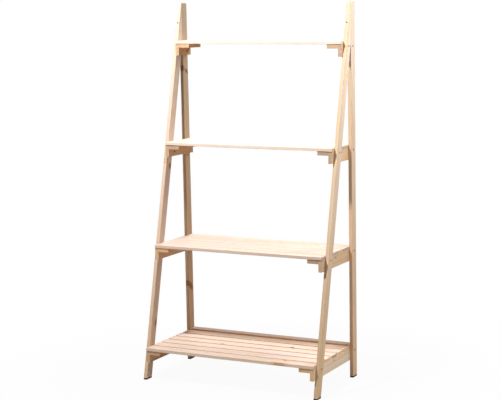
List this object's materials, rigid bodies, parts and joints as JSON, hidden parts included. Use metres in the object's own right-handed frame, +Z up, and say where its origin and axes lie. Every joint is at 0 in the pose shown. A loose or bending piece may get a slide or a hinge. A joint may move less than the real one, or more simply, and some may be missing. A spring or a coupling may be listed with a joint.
{
  "type": "plant ladder stand",
  "caption": "Free-standing ladder-shaped plant stand: A-shaped side frames of planed pine carry slatted decks that get deeper towards the floor.",
  "frame": {"origin": "on the floor, at the centre of the bounding box seen from above", "axes": "+Z up, -Y towards the front, where the lower decks reach furthest, +X to the right seen from the front"},
  "size_m": [0.75, 0.4101, 1.486],
  "materials": {
    "leg_pine": "planed smooth, pale",
    "rail_pine": "planed smooth, pale",
    "batten_pine": "planed smooth, pale",
    "slat_pine": "planed smooth, pale",
    "pad_black": "matte",
    "screw_steel": "dull"
  },
  "bodies": {
    "root": {"back_rail": "slat_pine", "batten_1_left": "batten_pine", "batten_1_right": "batten_pine", "batten_2_left": "batten_pine", "batten_2_right": "batten_pine", "batten_3_left": "batten_pine", "batten_3_right": "batten_pine", "batten_4_left": "batten_pine", "batten_4_right": "batten_pine", "foot_pad_front_left": "pad_black", "foot_pad_front_right": "pad_black", "foot_pad_rear_left": "pad_black", "foot_pad_rear_right": "pad_black", "front_leg_left": "leg_pine", "front_leg_right": "leg_pine", "rear_leg_left": "leg_pine", "rear_leg_right": "leg_pine", "screw_1_front_left": "screw_steel", "screw_1_front_right": "screw_steel", "screw_1_rear_left": "screw_steel", "screw_1_rear_right": "screw_steel", "screw_2_front_left": "screw_steel", "screw_2_front_right": "screw_steel", "screw_2_rear_left": "screw_steel", "screw_2_rear_right": "screw_steel", "screw_3_front_left": "screw_steel", "screw_3_front_right": "screw_steel", "screw_3_rear_left": "screw_steel", "screw_3_rear_right": "screw_steel", "screw_4_front_left": "screw_steel", "screw_4_front_right": "screw_steel", "screw_4_rear_left": "screw_steel", "screw_4_rear_right": "screw_steel", "side_rail_1_left": "rail_pine", "side_rail_1_right": "rail_pine", "side_rail_2_left": "rail_pine", "side_rail_2_right": "rail_pine", "side_rail_3_left": "rail_pine", "side_rail_3_right": "rail_pine", "side_rail_4_left": "rail_pine", "side_rail_4_right": "rail_pine", "slat_1_1": "slat_pine", "slat_1_2": "slat_pine", "slat_1_3": "slat_pine", "slat_1_4": "slat_pine", "slat_1_5": "slat_pine", "slat_1_6": "slat_pine", "slat_2_1": "slat_pine", "slat_2_2": "slat_pine", "slat_2_3": "slat_pine", "slat_2_4": "slat_pine", "slat_2_5": "slat_pine", "slat_2_6": "slat_pine", "slat_3_1": "slat_pine", "slat_3_2": "slat_pine", "slat_3_3": "slat_pine", "slat_3_4": "slat_pine", "slat_4_1": "slat_pine", "slat_4_2": "slat_pine"}
  },
  "joints": []
}
